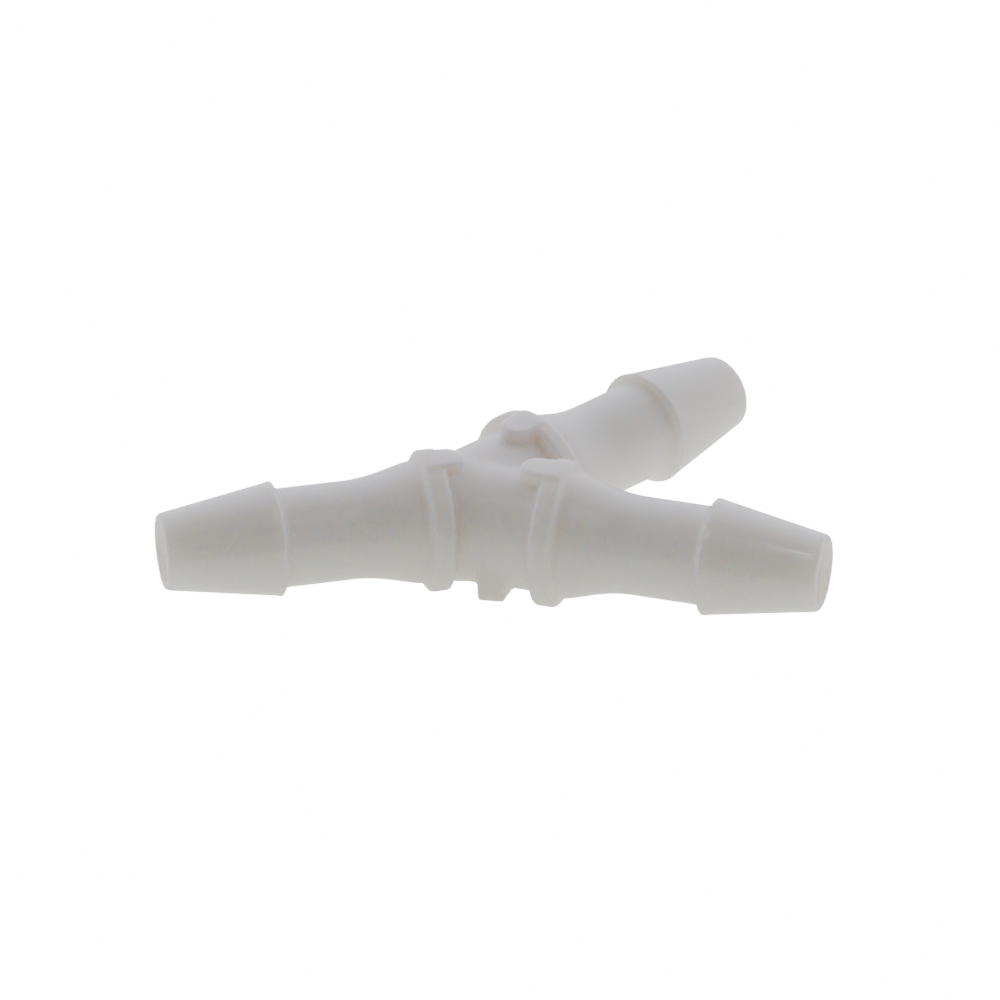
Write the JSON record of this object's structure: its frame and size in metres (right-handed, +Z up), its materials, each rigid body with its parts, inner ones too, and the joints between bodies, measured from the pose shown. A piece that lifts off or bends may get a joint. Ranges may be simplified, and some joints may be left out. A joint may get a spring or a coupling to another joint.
{
  "type": "y hose barb fitting",
  "caption": "Moulded Y fitting that joins a hose to a pair of branch hoses, with a barbed spigot, a collar and a pad on each leg.",
  "frame": {"origin": "middle of the fitting's footprint, on the surface that it lies on", "axes": "the stem points along -X, the two branches lean 30 degrees to each side of +X, and +Z is up with the pads on top"},
  "size_m": [0.0638, 0.044, 0.0147],
  "materials": {
    "plastic": "satin off-white moulded nylon"
  },
  "bodies": {
    "root": {"fitting": "plastic"}
  },
  "joints": []
}
